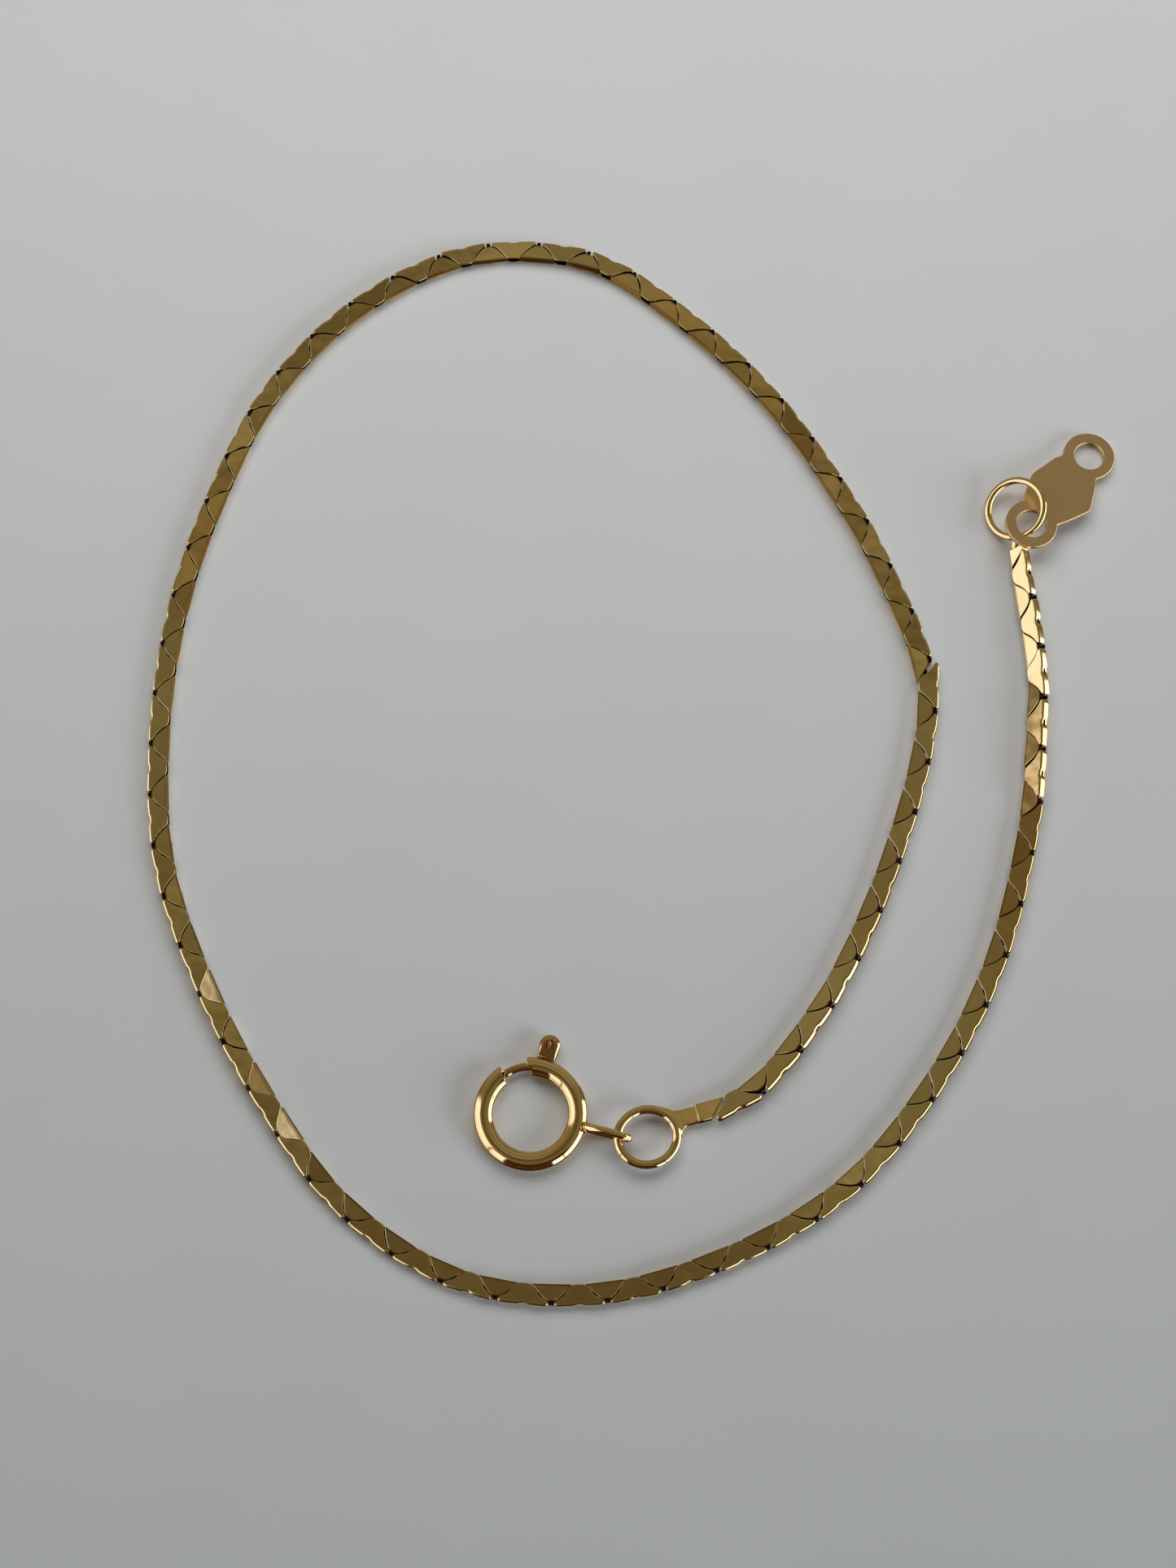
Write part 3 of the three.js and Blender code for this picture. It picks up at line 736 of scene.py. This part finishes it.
def hollow_tube():
    """The C-shaped tube. Its ends are cut with a step on the right and on a slant on the left."""
    sides, segments, edge = 40, 120, 0.022
    edge_angle = math.degrees(edge / CLASP["radius"])

    def ends(turn):
        outer = math.cos(turn)
        right = MOUTH["right"] + MOUTH["right_step"] * max(-1, min(1, outer * 6))
        left = MOUTH["left"] - MOUTH["left_slant"] * outer
        return left, right + 360

    vertices = []
    for side in range(sides):
        turn = 2 * math.pi * side / sides
        left, right = ends(turn)
        angles = np.linspace(left + edge_angle, right - edge_angle, segments + 1)
        outer = [(angle, CLASP["tube"]) for angle in angles]
        rim_right = [(right, CLASP["tube"] - edge), (right, CLASP["bore"] + edge)]
        inner = [(angle, CLASP["bore"]) for angle in angles[::-1]]
        rim_left = [(left, CLASP["bore"] + edge), (left, CLASP["tube"] - edge)]
        for angle, radius in [*outer, *rim_right, *inner, *rim_left]:
            reach = CLASP["radius"] + radius * math.cos(turn)
            vertices.append(polar(angle, reach, radius * math.sin(turn)))
    rows = len(vertices) // sides
    faces = []
    for side in range(sides):
        here, there = side * rows, (side + 1) % sides * rows
        for row in range(rows):
            after = (row + 1) % rows
            faces.append((here + row, here + after, there + after, there + row))
    return new_piece("spring_ring_body", vertices, faces, clasp_matrix())


def build_clasp_body():
    """The tube with the lever's slot cut in, and the bail soldered to it."""
    body = hollow_tube()
    middle = (SLOT["inner"] + SLOT["outer"]) / 2
    half = (SLOT["outer"] - SLOT["inner"]) / 2
    tall = SLOT["height"] / 2
    frames = []
    for angle in np.linspace(SLOT["start"], SLOT["end"], 25):
        frames.append((polar(angle, middle), polar(angle), Z_AXIS))
    section = [(-half, tall), (half, tall), (half, -tall), (-half, -tall)]
    combine(body, new_piece("lever_slot", *sweep(frames, section), clasp_matrix()), "DIFFERENCE")
    matrix = clasp_matrix(BAIL["angle"])
    length, height = BAIL["half_length"], BAIL["half_height"]
    bottom = Vector((BAIL["middle"], 0, height + BAIL["wire"] - CLASP["tube"]))
    frames = []
    for step in range(64):
        turn = 2 * math.pi * step / 64
        centre = bottom + Vector((length * math.cos(turn), 0, height * math.sin(turn)))
        outwards = Vector((height * math.cos(turn), 0, length * math.sin(turn))).normalized()
        frames.append((centre, outwards, Y_AXIS))
    bail = sweep(frames, circle(BAIL["wire"], 18), closed=True)
    combine(body, new_piece("bail", *bail, matrix), "UNION")
    foot = (CLASP["radius"] + CLASP["tube"], 0, BAIL_SOLDER["height"])
    combine(body, new_piece("solder", *ball_mesh(BAIL_SOLDER["radii"], foot), matrix), "UNION")
    return shade(body)


def build_latch():
    """The bolt, which slides in the tube, and the knob on its stem."""
    steps, tip = 40, 6
    frames = []
    for step in range(steps + 1):
        angle = BOLT["start"] + (BOLT["end"] - BOLT["start"]) * step / steps
        # The last steps shrink to a rounded tip
        into_tip = max(0, tip - (steps - step)) / tip
        size = math.sqrt(max(0.12, 1 - into_tip ** 2))
        frames.append((polar(angle, CLASP["radius"]), polar(angle, size), Z_AXIS * size))
    bolt = sweep(frames, circle(BOLT["wire"], 20)[::-1])
    bolt = new_piece("latch_with_knob", *bolt, clasp_matrix())
    matrix = clasp_matrix(KNOB["angle"])
    half, thickness = KNOB["half_width"], KNOB["thickness"]
    dome = KNOB["top"] - half
    foot_width = half * 0.86
    arc = [(dome + half * math.cos(turn), half * math.sin(turn))
           for turn in np.linspace(-math.pi / 2, math.pi / 2, 25)]
    outline = [(KNOB["foot"], -foot_width), *arc, (KNOB["foot"], foot_width)]
    rounding = [0.06, *[KNOB["rounding"]] * len(arc), 0.06]
    knob = new_piece("knob", *rounded_plate(outline, thickness, rounding, 6), matrix)
    dimple = ball_mesh(DIMPLE["radii"], (dome - DIMPLE["behind_dome"], 0, thickness / 2), 16, 32)
    combine(knob, new_piece("dimple", *dimple, matrix), "DIFFERENCE")
    low = (CLASP["radius"], -STEM["half_width"], -STEM["thickness"] / 2)
    high = (KNOB["foot"] + 0.1, STEM["half_width"], STEM["thickness"] / 2)
    combine(knob, new_piece("stem", *box_mesh(low, high), matrix), "UNION")
    return shade(combine(bolt, knob, "UNION"))


# The jump rings and the tag

def fused(piece, voxel=0.03, smoothing=6):
    """Melts the parts of a soldered piece into one another."""
    remesh = piece.modifiers.new("fuse", "REMESH")
    remesh.mode = "VOXEL"
    remesh.voxel_size = voxel * MM
    soften = piece.modifiers.new("soften", "SMOOTH")
    soften.factor = 0.5
    soften.iterations = smoothing
    return made_plain(piece)


def wire_along(path, section, matrix):
    """A wire along a curve of points in the plane of that frame."""
    path = [Vector((*place, 0)) for place in smooth_line(path, 5)]
    frames = []
    for k, centre in enumerate(path):
        along = (path[min(k + 1, len(path) - 1)] - path[max(k - 1, 0)]).normalized()
        frames.append((centre, Z_AXIS.cross(along), Z_AXIS))
    return new_piece("wire", *sweep(frames, section[::-1]), matrix)


# The tab beside the clasp's jump ring, in the plane of the end link: the middle lines of its two
# prongs, the web between them and the step at the end link
PRONGS = [
    [(-0.6, 0.24), (-1.2, 0.26), (-1.55, 0.33), (-1.95, 0.6), (-2.25, 0.7)],
    [(-0.6, -0.25), (-1.1, -0.28), (-1.4, -0.5), (-1.58, -0.85), (-1.88, -1.12)],
]
PRONG_WIRE = {"half_width": 0.13, "flattened": 0.95}
WEB = [
    (-0.45, 0.36), (-1.5, 0.38), (-1.9, 0.5), (-1.75, 0.3), (-1.6, 0), (-1.58, -0.3), (-1.62, -0.6),
    (-1.45, -0.7), (-1.1, -0.4), (-0.45, -0.38),
]
WEB_THICKNESS = 0.24
TAB_STEP = [(-0.52, -0.38), (-0.3, -0.38), (-0.3, 0.38), (-0.52, 0.38)]


def build_clasp_ring():
    """The jump ring, whose wire ends run together into a flat tab, and the end link soldered to it."""
    seat = link_frame(FIRST_HOOD_AT - LINK_PITCH / 2)
    pivot = Matrix.Translation((TURNED_LINK["pivot_x"], TURNED_LINK["pivot_y"], 0))
    turned = seat @ pivot @ Matrix.Rotation(math.radians(TURNED_LINK["turn"]), 4, "Z") @ pivot.inverted()
    turn = math.atan2(turned[1][0], turned[0][0])
    middle = Vector((CLASP_RING["x"], CLASP_RING["y"], CLASP_RING["z"]))
    matrix = (
        Matrix.Translation(middle) @ Matrix.Rotation(turn, 4, "Z")
        @ Matrix.Rotation(math.radians(CLASP_RING["tilt"]), 4, "Y")
    )
    mesh = ring_mesh(CLASP_RING["half_length"], CLASP_RING["half_width"], CLASP_RING["wire"])
    ring = new_piece("jump_ring_with_tab", *mesh, matrix)
    section = [(a, b * PRONG_WIRE["flattened"]) for a, b in circle(PRONG_WIRE["half_width"], 16)]
    prongs = [wire_along(path, section, turned) for path in PRONGS]
    web = new_piece("web", *rounded_plate(WEB, WEB_THICKNESS, [0.03] * len(WEB)), turned)
    fused(joined(ring, *prongs, web))
    step = new_piece("step", *rounded_plate(TAB_STEP, HOOD_THICKNESS, [0.06] * 4), turned)
    end = end_link(1, cut=-0.5, matrix=turned, seat=seat)
    return joined(shade(ring, 60), shade(step), shade(end))


def build_tag_ring():
    """The jump ring at the tag, and the last end link soldered to it."""
    seat = link_frame(FIRST_HOOD_AT + (HOOD_COUNT - 0.5) * LINK_PITCH)
    upwards = Vector((-TAG_RING["slope_x"], -TAG_RING["slope_y"], 1)).normalized()
    lean = Z_AXIS.rotation_difference(upwards)
    middle = Vector((TAG_RING["x"], TAG_RING["y"], TAG_RING["z"]))
    matrix = Matrix.Translation(middle) @ lean.to_matrix().to_4x4()
    mesh = ring_mesh(TAG_RING["radius"], TAG_RING["radius"], TAG_RING["wire"])
    ring = new_piece("tag_ring", *mesh, matrix)
    # The solder swells between the ring and the end link
    near = seat @ Vector((0.1, 0.2, 0))
    far = matrix @ Vector((0, -TAG_RING["radius"], 0))
    along = (far - near).normalized()
    first = along.cross(Z_AXIS).normalized()
    second = along.cross(first)
    frames = []
    for step in range(9):
        share = step / 8
        swell = 1 + TAG_SOLDER["swell"] * math.sin(math.pi * share)
        frames.append((near.lerp(far, share), first * swell, second * swell))
    solder = new_piece("solder", *sweep(frames, circle(TAG_SOLDER["radius"], 14)))
    fused(joined(ring, solder))
    end = end_link(-1, cut=0.15, matrix=seat, seat=seat)
    return joined(shade(ring, 60), shade(end))


def tag_outline(length):
    """The tag's outline, with its axis along x from the middle of the near eyelet."""
    neck = math.radians(TAG["neck_turn"])
    corners = []
    for middle, side, facing in ((0, -1, math.pi), (length, 1, 0)):
        for step in range(29):
            turn = facing - math.pi + neck + 2 * (math.pi - neck) * step / 28
            corners.append((middle + TAG["eyelet"] * math.cos(turn), TAG["eyelet"] * math.sin(turn), 0))
        back, half_width = TAG_CORNERS["left" if side > 0 else "right"]
        other = length - middle
        corners += [
            (middle - side * TAG_NECK[0], side * TAG_NECK[1], 0.14),
            (middle - side * TAG_SHOULDER[0], side * TAG_SHOULDER[1], 0.1),
            (length / 2 - back, side * half_width, 0.2),
            (other + side * TAG_SHOULDER[0], side * TAG_SHOULDER[1], 0.1),
            (other + side * TAG_NECK[0], side * TAG_NECK[1], 0.14),
        ]
    return filleted(corners)


def build_tag():
    """A stamped plate: an eyelet at each end of a six-sided middle."""
    along = (TAG_FAR - TAG_NEAR).normalized()
    across = Vector((-along.y, along.x, 0)).normalized()
    matrix = Matrix((along, across, along.cross(across))).transposed().to_4x4()
    matrix.translation = TAG_NEAR
    length = (TAG_FAR - TAG_NEAR).length
    outline = tag_outline(length)
    plate = rounded_plate(outline, TAG["thickness"], [TAG["edge"]] * len(outline), 4)
    tag = new_piece("end_tag_plate", *plate, matrix)
    upper = [(TAG["thickness"] / 2 - depth, flare) for depth, flare in PUNCHED_RIM]
    levels = [*[(-z, flare) for z, flare in upper], *reversed(upper)]
    for middle in (0, length):
        frames = []
        for z, flare in levels:
            radius = TAG["hole"] + flare
            frames.append((Vector((middle, 0, z)), X_AXIS * radius, Y_AXIS * radius))
        combine(tag, new_piece("punch", *sweep(frames, circle(1, 56)), matrix), "DIFFERENCE")
    return shade(tag, 25)


# Building the bracelet
chain_finish = rolled_gold()
wire_finish = polished_gold("polished_yellow_gold", "#EFD596", "#E3BF7C")
bolt_finish = polished_gold("polished_reddish_gold", "#E0BE8A", "#D0A66C")

finished(build_chain(chain_finish), chain_finish, "bracelet", "chain")
finished(build_clasp_body(), wire_finish, "bracelet", "clasp_body")
finished(build_latch(), bolt_finish, "latch", "clasp_latch")
finished(build_clasp_ring(), wire_finish, "bracelet", "clasp_jump_ring")
finished(build_tag_ring(), wire_finish, "bracelet", "tag_jump_ring")
finished(build_tag(), satin_gold(), "bracelet", "end_tag")

# Table, which lies a hair below the bracelet
half_table, table_height = 700 * MM, -0.002 * MM
corners = [
    (x * half_table, y * half_table, table_height) for x, y in ((-1, -1), (1, -1), (1, 1), (-1, 1))
]
table_mesh = bpy.data.meshes.new("table_top")
table_mesh.from_pydata(corners, [], [(0, 1, 2, 3)])
table_mesh.materials.append(table_laminate())
table = bpy.data.objects.new("table_top", table_mesh)
table.visible_glossy = False
bpy.context.scene.collection.objects.link(table)

# Camera, tilted 15 degrees from straight down, 104 mm above the table
camera_data = bpy.data.cameras.new("camera")
camera_data.sensor_fit = "VERTICAL"
camera_data.sensor_height = 36
camera_data.lens = 54.18
camera_data.clip_start = 0.005
camera_data.clip_end = 10
camera = bpy.data.objects.new("camera", camera_data)
bpy.context.scene.collection.objects.link(camera)
bpy.context.scene.camera = camera
tilt, swing = math.radians(15), math.radians(-8.4)
sideways = Vector((math.cos(swing), -math.sin(swing), 0))
uphill = Vector((math.sin(swing) * math.cos(tilt), math.cos(swing) * math.cos(tilt), math.sin(tilt)))
right = sideways * math.cos(swing) + uphill * math.sin(swing)
up = uphill * math.cos(swing) - sideways * math.sin(swing)
pose = Matrix((right, up, right.cross(up))).transposed().to_4x4()
pose.translation = Vector((1.88, -29.66, 104.3)) * MM
camera.matrix_world = pose


# Light

# The room's light by height, from the floor to the zenith: the height as a sine, and the light
ROOM = [
    (0.0, (0.17, 0.13, 0.08)),
    (0.12, (0.24, 0.21, 0.15)),
    (0.6, (0.22, 0.195, 0.14)),
    (0.93, (0.175, 0.157, 0.105)),
    (1.0, (0.11, 0.08, 0.043)),
]
# The walls and windows as bearing from +x, half width, lower edge, upper edge and soft border in
# degrees, and their light. The edges below the horizon stand for the sheen of the table top.
WINDOWS = [
    ((188, 32, -60, 72, 9), (0.27, 0.22, 0.14)),
    ((82, 30, 58, 72, 7), (0.34, 0.29, 0.19)),
    ((90, 50, -60, 35, 12), (0.28, 0.25, 0.19)),
    ((-88, 46, -85, 48, 8), (0.05, 0.022, 0.01)),
    ((185, 27, -25, 56, 3), (1.4, 1.45, 1.9)),
    ((225, 9, -25, 50, 2), (1.4, 1.45, 1.9)),
    ((-14, 34, -38, 14, 2.5), (3.4, 3.5, 3.8)),
    ((-58, 7, -38, 14, 1.5), (3.4, 3.5, 3.8)),
]


def soft_step(tree, value, outside, inside):
    """0 where the value is outside and 1 where it is inside, with a soft step between."""
    return add_node(
        tree, "ShaderNodeMapRange", {"Value": value, "From Min": outside, "From Max": inside},
        interpolation_type="SMOOTHSTEP",
    ).outputs[0]


def opening(tree, direction, bearing, half_width, low, high, soft):
    """The share of a wall or window in that direction, from 0 to 1. WINDOWS says what its numbers are."""
    level = add_node(tree, "ShaderNodeVectorMath", {0: direction, 1: (1, 1, 0)}, operation="MULTIPLY")
    level = add_node(tree, "ShaderNodeVectorMath", {0: level.outputs[0]}, operation="NORMALIZE")
    facing = add_node(
        tree, "ShaderNodeVectorMath", {0: level.outputs[0], 1: polar(bearing)}, operation="DOT_PRODUCT",
    ).outputs["Value"]
    height = add_node(tree, "ShaderNodeSeparateXYZ", {0: direction}).outputs["Z"]
    cosines = [polar(half_width + shift).x for shift in (soft, -soft)]
    share = soft_step(tree, facing, *cosines)
    for edge, border in ((low, soft), (high, -soft)):
        sines = [polar(edge + shift).y for shift in (-border, border)]
        step = soft_step(tree, height, *sines)
        share = add_node(tree, "ShaderNodeMath", {0: step, 1: share}, operation="MULTIPLY").outputs[0]
    return share


def room_light():
    """A room with a dim ceiling, a tall window on the left, a low one on the right and a dim near side."""
    world = bpy.data.worlds.new("room")
    world.use_nodes = True
    tree = world.node_tree
    tree.nodes.clear()
    direction = add_node(tree, "ShaderNodeTexCoord").outputs["Generated"]
    height = add_node(tree, "ShaderNodeSeparateXYZ", {0: direction}).outputs["Z"]
    ramp = add_node(tree, "ShaderNodeValToRGB", {"Fac": height})
    stops = ramp.color_ramp.elements
    stops.remove(stops[1])
    for number, (place, strength) in enumerate(ROOM):
        stop = stops.new(place) if number else stops[0]
        stop.color = (*strength, 1)
    light = ramp.outputs[0]
    for place, strength in WINDOWS:
        glow = add_node(tree, "ShaderNodeMix", data_type="RGBA")
        tree.links.new(opening(tree, direction, *place), glow.inputs[0])
        tree.links.new(light, glow.inputs[6])
        glow.inputs[7].default_value = (*strength, 1)
        light = glow.outputs[2]
    background = add_node(tree, "ShaderNodeBackground", {"Color": light, "Strength": 1.0})
    add_node(tree, "ShaderNodeOutputWorld", {"Surface": background.outputs[0]})
    # The room is for the gold to reflect. The lamps light the table.
    world.cycles_visibility.diffuse = False
    bpy.context.scene.world = world


def soft_lamp(name, place, aim, width, height, power, hex_value):
    """A soft rectangular lamp, place and aim in millimetres."""
    lamp = bpy.data.lights.new(name, "AREA")
    lamp.shape = "RECTANGLE"
    lamp.size = width * MM
    lamp.size_y = height * MM
    lamp.energy = power
    lamp.color = colour(hex_value)[:3]
    stand = bpy.data.objects.new(name, lamp)
    bpy.context.scene.collection.objects.link(stand)
    stand.location = Vector(place) * MM
    stand.visible_glossy = False
    stand.visible_camera = False
    stand.rotation_euler = (Vector(aim) - Vector(place)).to_track_quat("-Z", "Y").to_euler()


room_light()
# Their light falls off towards the near side, and their shadows fall to the left
soft_lamp("far_lamp", (0, 90, 120), (0, 5, 0), 220, 110, 0.178, "#FFFDFC")
soft_lamp("near_right_window", (852, -397, 342), (0, 0, 0), 600, 440, 5.5, "#E4F1FF")
soft_lamp("ceiling", (0, 0, 900), (0, 0, 0), 1500, 1500, 0.2, "#FFEDD2")
bpy.context.scene.view_settings.view_transform = "Standard"
